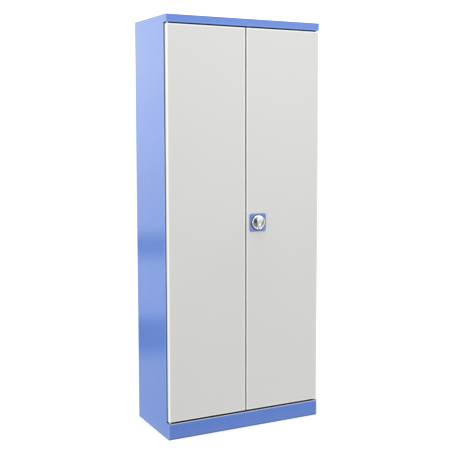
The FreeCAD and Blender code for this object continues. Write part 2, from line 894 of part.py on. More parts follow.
def make_lock_case():
    body = lock_body("lock_case")
    thick = size("case_gauge")
    flange = case_half + thick + size("case_flange")
    web = case_rear - thick
    path = [(-flange, gauge), (-case_half, gauge), (-case_half, web),
            (case_half, web), (case_half, gauge), (flange, gauge)]
    reach = size("case_half_height")
    pad(body, "XY", [bent_sheet(path, 1, thick, None)], -reach, reach, "hat_section")
    spindle_hole = Circle(zero, zero, size("spindle_side") * half_share * math.sqrt(2) + size("hub_gap"))
    cut(body, "XZ", [spindle_hole], case_rear - thick, case_rear, "spindle_hole")
    return body


knob_rear = -size("escutcheon_depth") - size("knob_gap")
knob_front = knob_rear - size("knob_depth")
knob_face = knob_rear - size("knob_floor")
grip_front = -size("knob_reach") + size("core_proud")


# A pear outline: a large head above the axis and a small tail below it, joined by tangents
class Pear:
    def __init__(self, head, rise, tail, drop):
        self.head = head
        self.rise = rise
        self.tail = tail
        self.drop = drop

    def add_to(self, sketch, pins):
        fall_share = (self.tail.value - self.head.value) / (self.rise + self.drop).value
        side_share = math.sqrt(1 - fall_share * fall_share)
        slope = math.atan2(fall_share, side_share)
        head_side = (self.head * side_share, self.head * fall_share + self.rise)
        tail_side = (self.tail * side_share, self.tail * fall_share - self.drop)
        far_head = (-head_side[0], head_side[1])
        far_tail = (-tail_side[0], tail_side[1])
        head_arc = self.add_arc(sketch, self.head, self.rise, slope, math.pi - slope)
        left = sketch.addGeometry(Part.LineSegment(vector(far_head), vector(far_tail)), False)
        tail_arc = self.add_arc(sketch, self.tail, -self.drop, math.pi - slope, math.tau + slope)
        right = sketch.addGeometry(Part.LineSegment(vector(tail_side), vector(head_side)), False)
        ring = (head_arc, left, tail_arc, right)
        for before, after in zip(ring, ring[1:] + ring[:1]):
            sketch.addConstraint(Sketcher.Constraint("Coincident", before, 2, after, 1))
        pins += [(left, 1, far_head), (left, 2, far_tail), (right, 1, tail_side), (right, 2, head_side)]

    def add_arc(self, sketch, radius, level, start, end):
        circle = Part.Circle(vector((zero, level)), FreeCAD.Vector(0, 0, 1), radius.value)
        arc = sketch.addGeometry(Part.ArcOfCircle(circle, start, end), False)
        held = sketch.addConstraint(Sketcher.Constraint("Radius", arc, radius.value))
        sketch.setExpression(f"Constraints[{held}]", radius.formula)
        return arc


def make_knob():
    body = lock_body("knob")
    pad(body, "XZ", [Circle(zero, zero, size("knob_radius"))], knob_front, knob_rear, "disc")
    bevel(body, at_depth(knob_front), size("knob_edge"), "rim_edge")
    cut(body, "XZ", [Circle(zero, zero, size("knob_radius") - size("knob_rim"))],
        knob_front, knob_face, "dish")
    taper = size("grip_taper")
    rise = size("grip_head_rise")
    drop = size("grip_tail_drop")
    foot = Pear(size("grip_head_radius"), rise, size("grip_tail_radius"), drop)
    crest = Pear(size("grip_head_radius") - taper, rise, size("grip_tail_radius") - taper, drop)
    low = draw(body, "XZ", [foot], -knob_face, "grip_foot")
    high = draw(body, "XZ", [crest], -grip_front, "grip_crest")
    grip = body.newObject("PartDesign::AdditiveLoft", "grip")
    grip.Profile = low
    grip.Sections = [high]
    grip.Ruled = True
    doc.recompute()
    pad(body, "XZ", [Circle(zero, zero, size("hub_radius"))], knob_rear, gauge, "hub")
    barrel_rear = grip_front + size("barrel_length")
    cut(body, "XZ", [Circle(zero, zero, size("barrel_radius") + size("running_gap"))],
        grip_front, barrel_rear, "barrel_bore")
    socket = (size("spindle_side") + size("spindle_gap")) * half_share
    cut(body, "XZ", [box_loop(-socket, socket, -socket, socket)], barrel_rear, gauge, "spindle_socket")
    return body


def make_lock_barrel():
    body = lock_body("lock_barrel")
    rear = grip_front + size("barrel_length")
    bore = Circle(zero, zero, size("core_radius") + size("running_gap"))
    pad(body, "XZ", [Circle(zero, zero, size("barrel_radius")), bore], grip_front, rear, "sleeve")
    return body


def make_lock_core():
    body = lock_body("lock_core")
    front = -size("knob_reach")
    rear = grip_front + size("barrel_length") - size("hub_gap")
    pad(body, "XZ", [Circle(zero, zero, size("core_radius"))], front, rear, "plug")
    half_w = size("key_slot_width") * half_share
    half_h = size("key_slot_height") * half_share
    cut(body, "XZ", [box_loop(-half_w, half_w, -half_h, half_h)],
        front, front + size("key_slot_depth"), "keyway")
    return body


def make_spindle():
    body = lock_body("spindle")
    half = size("spindle_side") * half_share
    front = grip_front + size("barrel_length")
    square_end = tongue_rear
    pad(body, "XZ", [box_loop(-half, half, -half, half)], front, square_end, "square_bar")
    nut_end = tongue_rear + size("nut_depth")
    pad(body, "XZ", [Circle(zero, zero, half)], square_end, nut_end, "threaded_end")
    return body


def make_spindle_nut():
    body = lock_body("spindle_nut")
    corner = size("nut_flats") * half_share / math.cos(math.pi / nut_sides)
    hexagon = []
    for index in range(nut_sides):
        angle = math.tau / nut_sides * index
        hexagon.append((corner * math.cos(angle), corner * math.sin(angle)))
    hole = Circle(zero, zero, size("spindle_side") * half_share + size("running_gap"))
    pad(body, "XZ", [Loop(hexagon), hole], tongue_rear, tongue_rear + size("nut_depth"), "hexagon")
    return body


def make_lock_tongue():
    body = lock_body("lock_tongue")
    half = size("tongue_width") * half_share
    socket = (size("spindle_side") + size("spindle_gap")) * half_share
    outline = box_loop(-half, half, -size("tongue_reach"), half)
    hole = box_loop(-socket, socket, -socket, socket)
    pad(body, "XZ", [outline, hole], tongue_front, tongue_rear, "bar")
    return body


# Pinion and racks: straight-flanked teeth at the pressure angle, a backlash apart

module_size = size("gear_module")
pitch_share = gear_teeth * half_share
tip_share = pitch_share + addendum_share
root_share = pitch_share - dedendum_share
mouth_share = tip_share + addendum_share * half_share
backlash_share = sizes["gear_backlash"] / sizes["gear_module"]


# A point at a radius in modules, turned by an angle
def polar(radius_share, angle):
    return (module_size * (radius_share * math.cos(angle)), module_size * (radius_share * math.sin(angle)))


def make_pinion():
    body = lock_body("pinion")
    pad(body, "XZ", [Circle(zero, zero, module_size * tip_share)], gear_front, gear_rear, "blank")
    middle = math.pi / gear_teeth
    half_gap = middle * half_share + backlash_share / gear_teeth
    flank = []
    for radius_share in (root_share, pitch_share, tip_share, mouth_share):
        opening = (radius_share - pitch_share) * math.tan(pressure_angle) / pitch_share
        flank.append((radius_share, half_gap + opening))
    outline = [polar(radius_share, middle + turn) for radius_share, turn in flank]
    outline += [polar(radius_share, middle - turn) for radius_share, turn in reversed(flank)]
    gap = cut(body, "XZ", [Loop(outline)], gear_front, gear_rear, "tooth_gap")
    ring = body.newObject("PartDesign::PolarPattern", "tooth_gaps")
    ring.Originals = [gap]
    ring.Axis = (gap.Profile[0], ["N_Axis"])
    ring.Angle = 360
    ring.Occurrences = gear_teeth
    body.Tip = ring
    doc.recompute()
    socket = (size("spindle_side") + size("spindle_gap")) * half_share
    cut(body, "XZ", [box_loop(-socket, socket, -socket, socket)], gear_front, gear_rear, "square_hole")
    return body


tooth_pitch = module_size * math.pi


# The racks run opposite ways, so the lower one is the upper one turned half round the axis
def make_rack(name, way):
    body = lock_body(name)
    back = pitch_radius + size("rack_depth")
    tips = pitch_radius - module_size * addendum_share
    behind = tooth_pitch * (rack_gaps_behind + half_share)
    ahead = tooth_pitch * (rack_gaps_ahead + half_share)
    x_span = ordered(mirrored(-way, back), mirrored(-way, tips))
    z_span = ordered(mirrored(-way, behind), mirrored(way, ahead))
    pad(body, "XZ", [box_loop(*x_span, *z_span)], gear_front, gear_rear, "bar")
    deep = pitch_radius + module_size * dedendum_share
    mouth = tips - module_size * half_share
    start = tooth_pitch * -rack_gaps_behind
    outline = []
    for place, hand in ((deep, 1), (mouth, 1), (mouth, -1), (deep, -1)):
        spread = tooth_pitch * (half_share * half_share) + size("gear_backlash") * half_share
        spread = spread + (pitch_radius - place) * math.tan(pressure_angle)
        outline.append((mirrored(-way, place), mirrored(way, start + spread * hand)))
    gap = cut(body, "XZ", [Loop(outline)], gear_front, gear_rear, "tooth_gap")
    count = rack_gaps_behind + rack_gaps_ahead + 1
    row = repeat(body, gap, "V_Axis", tooth_pitch * (count - 1), count, "tooth_gaps")
    if way < 0:
        row.Reversed = True
        doc.recompute()
    return body


def make_rod(name, way):
    body = lock_body(name)
    x = mirrored(-way, rod_x)
    door_end = door_top - size("rod_end_gap") if way > 0 else door_bottom + size("rod_end_gap")
    far = door_end - lock_z
    bar = box_loop(x - rod_half, x + rod_half, rod_front, rod_rear)
    pad(body, "XY", [bar], *ordered(zero, far), "flat_bar")
    return body


# Assembly

make_side_panel("left_side_panel", -1)
make_side_panel("right_side_panel", 1)
make_top_panel()
make_plinth_front()
make_plinth_rear()
make_floor_panel()
make_back_panel()
make_rail("header_rail", header_rail_level, stop_face + size("stop_foot"))
make_rail("plinth_rail", plinth_rail_level - gauge, stop_face + gauge)
make_keeper_tabs("header_keeper_tabs", header_rail_level, lock_x - rod_x)
make_keeper_tabs("plinth_keeper_tabs", plinth_rail_level - gauge, lock_x + rod_x)
make_door_stops()
for side, word in ((-1, "left"), (1, "right")):
    make_upright(f"front_{word}_upright", side, front_upright)
    make_upright(f"rear_{word}_upright", side, rear_upright)
for number, slot in enumerate(shelf_slots, start=1):
    make_shelf(number, slot)
    make_shelf_clips(number, slot)
make_shelf_stiffeners()
make_hinge_pins("upper_hinge_pins", header_rail_level, 1)
make_hinge_pins("lower_hinge_pins", plinth_rail_level, -1)
make_thrust_washers()
make_door_buffers()
left_slots = dict.fromkeys(
    ("top", "bottom"), bar_slot(bolt_x, size("bolt_width") * half_share, size("bolt_setback"), bolt_rear))
right_slots = {
    "top": bar_slot(lock_x - rod_x, rod_half, rod_front, rod_rear),
    "bottom": bar_slot(lock_x + rod_x, rod_half, rod_front, rod_rear),
}
make_door_panel("left_door_panel", -1, left_slots)
make_door_panel("right_door_panel", 1, right_slots)
for side, word in ((-1, "left"), (1, "right")):
    make_door_stiffener(f"{word}_door_stiffener", side)
    make_hinge_plates(f"{word}_hinge_plates", side)
    make_hinge_bushes(f"{word}_hinge_bushes", side)
make_bolt_guides()
make_rod_guides()
for way, word in ((1, "upper"), (-1, "lower")):
    make_shoot_bolt(f"{word}_shoot_bolt", way)
    make_thumb_pin(f"{word}_thumb_pin", way)
    make_rack(f"{word}_rack", way)
    make_rod(f"{word}_rod", way)
make_escutcheon()
make_lock_case()
make_knob()
make_lock_barrel()
make_lock_core()
make_spindle()
make_spindle_nut()
make_lock_tongue()
make_pinion()
doc.recompute()

for item in doc.Objects:
    if "Invalid" in item.State or "Error" in item.State:
        raise RuntimeError(f"{item.Label} failed: {item.State}")
for piece in pieces:
    if piece.Shape.isNull() or not piece.Shape.isValid():
        raise RuntimeError(f"{piece.Label} has no valid shape")
for piece in pieces:
    piece.Shape.exportStep(f"parts/{piece.Label}.step")
    print(piece.Label, len(piece.Shape.Solids), round(piece.Shape.Volume))
print(len(pieces), "pieces")
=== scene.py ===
import bpy
import bmesh
import json
import math
from mathutils import Matrix, Vector


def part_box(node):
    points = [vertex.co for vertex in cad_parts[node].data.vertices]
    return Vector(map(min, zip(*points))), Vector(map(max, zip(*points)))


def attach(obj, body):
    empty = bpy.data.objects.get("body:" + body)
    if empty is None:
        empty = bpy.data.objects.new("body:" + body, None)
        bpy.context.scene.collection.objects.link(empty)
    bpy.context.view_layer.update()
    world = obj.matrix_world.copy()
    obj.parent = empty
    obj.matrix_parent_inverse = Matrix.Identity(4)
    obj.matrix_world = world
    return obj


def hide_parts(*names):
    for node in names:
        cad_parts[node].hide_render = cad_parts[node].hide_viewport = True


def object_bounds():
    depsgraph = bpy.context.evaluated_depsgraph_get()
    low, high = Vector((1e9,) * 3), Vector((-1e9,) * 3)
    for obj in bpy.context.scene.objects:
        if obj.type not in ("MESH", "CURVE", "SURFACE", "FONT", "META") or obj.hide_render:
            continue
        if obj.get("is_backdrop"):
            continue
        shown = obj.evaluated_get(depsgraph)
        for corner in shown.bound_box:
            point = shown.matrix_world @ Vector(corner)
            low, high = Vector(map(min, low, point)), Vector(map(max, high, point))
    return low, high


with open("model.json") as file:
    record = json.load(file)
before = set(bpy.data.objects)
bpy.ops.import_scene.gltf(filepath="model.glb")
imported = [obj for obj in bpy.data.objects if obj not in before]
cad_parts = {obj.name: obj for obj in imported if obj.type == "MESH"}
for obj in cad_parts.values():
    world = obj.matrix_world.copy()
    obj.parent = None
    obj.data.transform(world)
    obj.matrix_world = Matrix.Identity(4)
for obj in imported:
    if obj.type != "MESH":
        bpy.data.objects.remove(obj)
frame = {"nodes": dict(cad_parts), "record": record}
cadLow, cadHigh = (Vector(corner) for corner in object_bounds())

mm = 0.001


def spanOf(node):
    low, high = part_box(node)
    return Vector(low), Vector(high)


# The lock's own axis and the front plane, read from the frame
plateLow, plateHigh = spanOf("handle_escutcheon")
frontY = plateHigh.y
lockAt = Vector(((plateLow.x + plateHigh.x) / 2, frontY, (plateLow.z + plateHigh.z) / 2))


# Node trees, in short

def giveInputs(tree, node, inputs):
    for key, value in inputs.items():
        if isinstance(value, bpy.types.NodeSocket):
            tree.links.new(value, node.inputs[key])
        else:
            node.inputs[key].default_value = value


def addNode(tree, kind, inputs=None, **settings):
    made = tree.nodes.new(kind)
    for key, value in settings.items():
        setattr(made, key, value)
    giveInputs(tree, made, inputs or {})
    return made


def maths(tree, operation, first, second=0.0, clamp=False):
    return addNode(tree, "ShaderNodeMath", {0: first, 1: second},
                   operation=operation, use_clamp=clamp).outputs[0]


def vectorMaths(tree, operation, first, second=(0.0, 0.0, 0.0), output="Vector"):
    return addNode(tree, "ShaderNodeVectorMath", {0: first, 1: second}, operation=operation).outputs[output]


def axesOf(tree, place):
    return addNode(tree, "ShaderNodeSeparateXYZ", {0: place}).outputs


def newMaterial(name):
    material = bpy.data.materials.new(name)
    material.use_nodes = True
    tree = material.node_tree
    place = addNode(tree, "ShaderNodeTexCoord").outputs["Object"]
    return material, tree, tree.nodes["Principled BSDF"], place


def noise(tree, place, scale, detail=2.0, roughness=0.5, stretch=None):
    if stretch is not None:
        place = addNode(tree, "ShaderNodeMapping", {"Vector": place, "Scale": stretch}).outputs[0]
    return addNode(tree, "ShaderNodeTexNoise", {
        "Vector": place, "Scale": scale, "Detail": detail, "Roughness": roughness}).outputs["Fac"]


def remap(tree, value, low, high, toLow, toHigh):
    return addNode(tree, "ShaderNodeMapRange", {
        "Value": value, "From Min": low, "From Max": high, "To Min": toLow, "To Max": toHigh}).outputs[0]


# Inputs 0, 6 and 7 are the factor and the two colours, and output 2 is the mixed colour
def mixColour(tree, factor, first, second):
    return addNode(tree, "ShaderNodeMix", {0: factor, 6: first, 7: second}, data_type="RGBA").outputs[2]


def rgb(*channels):
    return (*channels, 1.0)


def shaded(colour, share):
    return rgb(*[channel * share for channel in colour[:3]])


# Bump from a list of (height, depth in metres) pairs, finest last
def bumpStack(tree, shader, layers):
    normal = None
    for height, depth in layers:
        inputs = {"Height": height, "Distance": depth, "Strength": 1.0}
        if normal is not None:
            inputs["Normal"] = normal
        normal = addNode(tree, "ShaderNodeBump", inputs).outputs[0]
    tree.links.new(normal, shader.inputs["Normal"])


# Where in its noise a mark starts and is full: scuffSpan is only that distance, as each look has its
# own start, and the breaks give the shares at start and end too
noiseRanges = {
    "wide": (0.3, 0.7), "middle": (0.35, 0.65), "flecks": (0.62, 0.74), "lines": (0.55, 0.75),
    "scuffSpan": 0.12, "rimBreaks": (0.25, 0.5, 0.8, 1.0), "dustBreaks": (0.35, 0.6, 0.2, 1.0),
}


# Share, from 0 to 1, of how near a point is to the rim of a box seen along Y, full in the outer half
def rimBand(tree, place, low, high, width):
    parts = axesOf(tree, place)
    nearest = None
    for part, start, end in ((parts[0], low.x, high.x), (parts[2], low.z, high.z)):
        for gap in (maths(tree, "SUBTRACT", part, start), maths(tree, "SUBTRACT", end, part)):
            nearest = gap if nearest is None else maths(tree, "MINIMUM", nearest, gap)
    return remap(tree, nearest, 0.5 * width, width, 1.0, 0.0)


# Bands of painted highlight and painted shade along folded edges: each full up to one place on an axis, gone
# at another
def edgeBands(tree, place, tone, bands):
    parts = axesOf(tree, place)
    for band in bands:
        along, full, gone, share = parts[band["axis"]], band["full"], band["gone"], band["share"]
        if full < gone:
            mask = remap(tree, along, full, gone, share, 0.0)
        else:
            mask = remap(tree, along, gone, full, 0.0, share)
        if band["within"] is not None:
            axis, low, high = band["within"]
            mask = maths(tree, "MULTIPLY", mask, maths(tree, "GREATER_THAN", parts[axis], low))
            mask = maths(tree, "MULTIPLY", mask, maths(tree, "LESS_THAN", parts[axis], high))
        tone = mixColour(tree, mask, tone, band["colour"])
    return tone


# Share of a row of spot welds up both edges of a panel, from 0 to 1 at each weld's middle
def weldRow(tree, place, row):
    parts = axesOf(tree, place)
    across = maths(tree, "SUBTRACT", maths(tree, "ABSOLUTE", parts[0]), row["across"])
    up = maths(tree, "SUBTRACT", maths(tree, "FLOORED_MODULO", parts[2], row["pitch"]), 0.5 * row["pitch"])
    square = maths(tree, "ADD", maths(tree, "MULTIPLY", across, across), maths(tree, "MULTIPLY", up, up))
    return remap(tree, maths(tree, "SQRT", square), 0.5 * row["radius"], row["radius"], 1.0, 0.0)


# A door's painted highlight in a thin rim in front, and painted shade at the rear of its folded walls
def rimLightAndShade(tree, place, tone, look):
    low, high = look["rim"]
    depth = axesOf(tree, place)[1]
    broken = remap(tree, noise(tree, place, look["rimScale"], detail=3.0), *noiseRanges["rimBreaks"])
    front = remap(tree, depth, low.y + look["rimDepth"], low.y + 2 * look["rimDepth"],
                  look["rimShare"], 0.0)
    rim = maths(tree, "MULTIPLY", rimBand(tree, place, low, high, look["rimWidth"]), broken)
    tone = mixColour(tree, maths(tree, "MULTIPLY", rim, front, True), tone, look["rimHighlightColour"])
    wall = maths(tree, "GREATER_THAN", rimBand(tree, place, low, high, look["wallGauge"]), look["wallStart"])
    rear = remap(tree, depth, high.y - look["grimeWidth"], high.y - look["grimeFull"] * look["grimeWidth"],
                 0.0, look["grimeShare"])
    return mixColour(tree, maths(tree, "MULTIPLY", wall, rear, True), tone, look["grimeColour"])


# Dust near the floor, thicker where the paint is scuffed
def dustTone(tree, place, tone, look, scuffs):
    dust = remap(tree, axesOf(tree, place)[2], 0.0, look["dustTop"], look["dustShare"], 0.0)
    dust = maths(tree, "MULTIPLY", dust, remap(tree, scuffs, *noiseRanges["dustBreaks"]), True)
    return mixColour(tree, dust, tone, look["dustColour"])


# Powder-coated sheet: orange peel, slow waves of the sheet, faint clouds of tone, flecks, handling marks, and
# where a look lists them, painted highlights and painted shade along edges and dust near the floor
def powderCoat(name, look):
    material, tree, shader, place = newMaterial(name)
    clouds = noise(tree, place, look["cloudScale"], detail=3.0)
    flecks = noise(tree, place, look["fleckScale"], detail=1.0)
    scuffs = noise(tree, place, look["scuffScale"], detail=6.0, roughness=0.6, stretch=look["scuffStretch"])
    base = look["colour"]
    tone = mixColour(tree, remap(tree, clouds, *noiseRanges["wide"], 0.0, 1.0),
                     shaded(base, 1 - look["cloudShare"]), shaded(base, 1 + look["cloudShare"]))
    tone = mixColour(tree, remap(tree, flecks, *noiseRanges["flecks"], 0.0, look["fleckShare"]),
                     tone, shaded(base, look["fleckTone"]))
    marks = remap(tree, scuffs, look["scuffStart"], look["scuffStart"] + noiseRanges["scuffSpan"],
                  0.0, look["scuffShare"])
    tone = mixColour(tree, marks, tone, look["scuffColour"])
    if "rim" in look:
        tone = rimLightAndShade(tree, place, tone, look)
    tone = edgeBands(tree, place, tone, look.get("bands", ()))
    if "dustTop" in look:
        tone = dustTone(tree, place, tone, look, scuffs)
    rough = remap(tree, clouds, *noiseRanges["wide"], look["roughLow"], look["roughHigh"])
    giveInputs(tree, shader, {
        "Base Color": tone,
        "Roughness": maths(tree, "ADD", rough, maths(tree, "MULTIPLY", marks, look["scuffRough"])),
        "Specular IOR Level": look["specular"],
        "Coat Weight": look["coat"], "Coat Roughness": look["coatRough"],
        "Sheen Weight": look["sheen"], "Sheen Roughness": look["sheenRough"]})
    waves = noise(tree, place, look["waveScale"], detail=1.0, roughness=0.4)
    peel = noise(tree, place, look["peelScale"])
    layers = [(waves, look["waveDepth"]), (peel, look["peelDepth"])]
    if "welds" in look:
        layers.insert(1, (weldRow(tree, place, look["welds"]), -look["welds"]["depth"]))
    bumpStack(tree, shader, layers)
    return material


carcassLook = {
    "colour": rgb(0.087, 0.196, 0.622), "cloudScale": 2.2, "cloudShare": 0.025,
    "fleckScale": 900.0, "fleckShare": 0.35, "fleckTone": 1.18,
    "scuffScale": 9.0, "scuffStretch": (1.0, 1.0, 0.25), "scuffStart": 0.66, "scuffShare": 0.10,
    "scuffColour": rgb(0.42, 0.50, 0.70), "scuffRough": 0.10,
    "roughLow": 0.36, "roughHigh": 0.44, "specular": 0.65, "coat": 0.30, "coatRough": 0.25,
    "sheen": 0.22, "sheenRough": 0.4,
    "waveScale": 2.6, "waveDepth": 0.0016, "peelScale": 420.0, "peelDepth": 0.00010,
    "dustTop": 0.05, "dustShare": 0.16, "dustColour": rgb(0.30, 0.31, 0.34),
}
doorLook = {
    "colour": rgb(0.676, 0.682, 0.660), "cloudScale": 1.8, "cloudShare": 0.012,
    "fleckScale": 950.0, "fleckShare": 0.22, "fleckTone": 0.90,
    "scuffScale": 11.0, "scuffStretch": (1.0, 1.0, 0.3), "scuffStart": 0.70, "scuffShare": 0.10,
    "scuffColour": rgb(0.52, 0.52, 0.50), "scuffRough": 0.10,
    "roughLow": 0.40, "roughHigh": 0.48, "specular": 0.5, "coat": 0.10, "coatRough": 0.30,
    "sheen": 0.0, "sheenRough": 0.4,
    "waveScale": 2.2, "waveDepth": 0.0014, "peelScale": 450.0, "peelDepth": 0.00009,
    # From here on: a painted highlight along the door's front edges, then painted shade at the rear of its
    # folded walls
    "rimWidth": 0.0060, "rimScale": 14.0, "rimShare": 0.95, "rimDepth": 0.0022,
    "rimHighlightColour": rgb(0.97, 0.97, 0.96), "wallGauge": 0.0012, "wallStart": 0.05,
    "grimeWidth": 0.008, "grimeFull": 0.4, "grimeShare": 0.8, "grimeColour": rgb(0.09, 0.11, 0.20),
}
# The side panels and the top panel take their own copies of the one blue paint, bluer on the sides and
# lighter on the top: painted light for how the lamps fall on them
sideLook = dict(carcassLook, colour=rgb(0.081, 0.206, 0.640), coat=0.90, coatRough=0.09, sheen=0.05,
                specular=0.35)
topLook = dict(carcassLook, colour=rgb(0.106, 0.230, 0.680), coat=0.12, specular=0.42, sheen=0.10)
# A darker copy of the blue for the rails, keeper tabs and door stops: painted shade that darkens the gaps
# round the doors
railShadeLook = dict(carcassLook, colour=rgb(0.020, 0.036, 0.105), coat=0.0, specular=0.3)
shelfLook = dict(doorLook, colour=rgb(0.55, 0.55, 0.53), scuffShare=0.30, scuffStart=0.60,
                 scuffStretch=(0.4, 1.0, 1.0), roughLow=0.42, roughHigh=0.54)


# Plated steel: fine draw lines along one axis, dull patches, bluish or yellow passivation tint
def platedSteel(name, look):
    material, tree, shader, place = newMaterial(name)
    lines = noise(tree, place, look["lineScale"], detail=3.0, roughness=0.6, stretch=look["lineStretch"])
    patches = noise(tree, place, look["patchScale"], detail=3.0)
    tone = mixColour(tree, remap(tree, patches, *noiseRanges["middle"], 0.0, 1.0),
                     look["colour"], look["tint"])
    tone = mixColour(tree, remap(tree, lines, *noiseRanges["lines"], 0.0, look["lineShare"]), tone,
                     shaded(look["colour"], look["lineTone"]))
    rough = remap(tree, patches, *noiseRanges["wide"], look["roughLow"], look["roughHigh"])
    giveInputs(tree, shader, {
        "Base Color": tone, "Metallic": 1.0,
        "Roughness": maths(tree, "ADD", rough, maths(tree, "MULTIPLY", lines, look["lineRough"]))})
    bumpStack(tree, shader, ((lines, look["lineDepth"]),))
    return material


zincLook = {
    "colour": rgb(0.62, 0.63, 0.64), "tint": rgb(0.66, 0.64, 0.56), "patchScale": 30.0,
    "lineScale": 300.0, "lineStretch": (1.0, 1.0, 0.06), "lineShare": 0.5, "lineTone": 0.6, "lineRough": 0.12,
    "roughLow": 0.26, "roughHigh": 0.42, "lineDepth": 0.00003,
}
chromeLook = {
    "colour": rgb(0.86, 0.87, 0.88), "tint": rgb(0.80, 0.82, 0.84), "patchScale": 45.0,
    "lineScale": 500.0, "lineStretch": (1.0, 0.2, 1.0), "lineShare": 0.10, "lineTone": 0.6, "lineRough": 0.04,
    "roughLow": 0.05, "roughHigh": 0.11, "lineDepth": 0.000006,
}
coreLook = {
    "colour": rgb(0.70, 0.70, 0.69), "tint": rgb(0.66, 0.65, 0.60), "patchScale": 160.0,
    "lineScale": 900.0, "lineStretch": (1.0, 1.0, 0.1), "lineShare": 0.4, "lineTone": 0.6, "lineRough": 0.10,
    "roughLow": 0.22, "roughHigh": 0.34, "lineDepth": 0.00001,
}


# A painted shadow in a ring round the lock's axis, stronger below it
def ringShadowTone(tree, place, tone, look):
    away = vectorMaths(tree, "SUBTRACT", place, lockAt)
    reach = vectorMaths(tree, "LENGTH", vectorMaths(tree, "MULTIPLY", away, (1.0, 0.0, 1.0)), output="Value")
    ring = maths(tree, "MULTIPLY", remap(tree, reach, *look["ring"], 1.0, 0.0),
                 remap(tree, axesOf(tree, away)[2], *look["ringHeights"], *look["ringShares"]))
    return mixColour(tree, ring, tone, look["ringShadowColour"])


# Dust in the lower part of the knob's bowl
def bowlDust(tree, place, tone, look):
    low, high = look["dustHeights"]
    dust = remap(tree, axesOf(tree, place)[2], lockAt.z + low, lockAt.z + high, look["dustLow"], 0.0)
    return mixColour(tree, dust, tone, look["dustColour"])


# Moulded plastic and rubber: soft mottling of tone and shine, a fine moulded texture, and where a look lists
# them, a painted shadow ring round the knob and dust low in its bowl
def mouldedPlastic(name, look):
    material, tree, shader, place = newMaterial(name)
    mottle = noise(tree, place, look["mottleScale"], detail=3.0)
    grain = noise(tree, place, look["grainScale"])
    tone = mixColour(tree, remap(tree, mottle, *noiseRanges["middle"], 0.0, 1.0),
                     *(shaded(look["colour"], share) for share in look["mottleTones"]))
    if "ring" in look:
        tone = ringShadowTone(tree, place, tone, look)
    if "dustLow" in look:
        tone = bowlDust(tree, place, tone, look)
    giveInputs(tree, shader, {
        "Base Color": tone, "Specular IOR Level": look["specular"],
        "Roughness": remap(tree, mottle, *noiseRanges["wide"], look["roughLow"], look["roughHigh"])})
    bumpStack(tree, shader, ((mottle, look["mottleDepth"]), (grain, look["grainDepth"])))
    return material


plateLook = {
    "colour": rgb(0.170, 0.240, 0.560), "mottleScale": 35.0, "mottleTones": (0.94, 1.06),
    "mottleDepth": 0.00015, "grainScale": 1400.0, "grainDepth": 0.00003, "roughLow": 0.24, "roughHigh": 0.34,
    "specular": 0.5,
    # A painted shadow ring round the knob on the plate, stronger below it
    "ring": (0.0352, 0.0410), "ringHeights": (-0.034, 0.020), "ringShares": (0.95, 0.45),
    "ringShadowColour": rgb(0.020, 0.028, 0.090),
}
nylonLook = {
    "colour": rgb(0.78, 0.77, 0.72), "mottleScale": 90.0, "mottleTones": (0.94, 1.06), "mottleDepth": 0.00005,
    "grainScale": 1500.0, "grainDepth": 0.00002, "roughLow": 0.42, "roughHigh": 0.55, "specular": 0.4,
}
rubberLook = {
    "colour": rgb(0.035, 0.035, 0.036), "mottleScale": 120.0, "mottleTones": (0.94, 1.06),
    "mottleDepth": 0.00005, "grainScale": 1800.0, "grainDepth": 0.00004, "roughLow": 0.62, "roughHigh": 0.80,
    "specular": 0.3,
}

# Colours of painted light and shade on the sheet: the pale ones are painted highlights on folds and edges,
# and the dark ones are painted shade in gaps, along edges and by the floor
bandColours = {
    "pale": rgb(0.30, 0.48, 0.82), "edge": rgb(0.62, 0.74, 0.95), "dark": rgb(0.016, 0.034, 0.140),
    "gap": rgb(0.006, 0.008, 0.014), "gapWallShade": rgb(0.055, 0.055, 0.052), "hemShade": rgb(0.03, 0.03, 0.03),
    "bendShade": rgb(0.42, 0.42, 0.41),
}


# One band: its axis, the edge it follows, the millimetres from there at which it is full and gone,
# its strength and colour, and the axis, start and end of the zone that it is kept to
def edgeBand(axis, edge, full, gone, share, colour, within=None):
    return {"axis": axis, "full": edge + full * mm, "gone": edge + gone * mm, "share": share,
            "colour": bandColours[colour], "within": within}


# Doors: painted shade at the right door's outer edge, and darker painted shade along the free and the lower
# edges
def doorBands(hand, low, high):
    free, inward = (high.x, -1) if hand == "left" else (low.x, 1)
    bands = [
        edgeBand(0, free, 0.8 * inward, 1.2 * inward, 0.88, "gapWallShade", (1, low.y + 2.5 * mm, high.y)),
        edgeBand(2, low.z, 1.0, 1.8, 0.95, "hemShade", (1, low.y - mm, high.y)),
    ]
    if hand == "right":
        bands.insert(0, edgeBand(0, high.x, -1.0, -5.0, 0.75, "bendShade", (1, low.y - mm, low.y + 3.0 * mm)))
    return bands


plinthTop = spanOf("plinth_front")[1].z
headerLow = spanOf("top_panel")[0].z
behindDoors = spanOf("left_door_panel")[1].y + 3.0 * mm
doorZone = (2, plinthTop, headerLow)
frontFace = (1, frontY - mm, frontY + mm)
plinthRoll = (2, plinthTop - 3.0 * mm, plinthTop + mm)
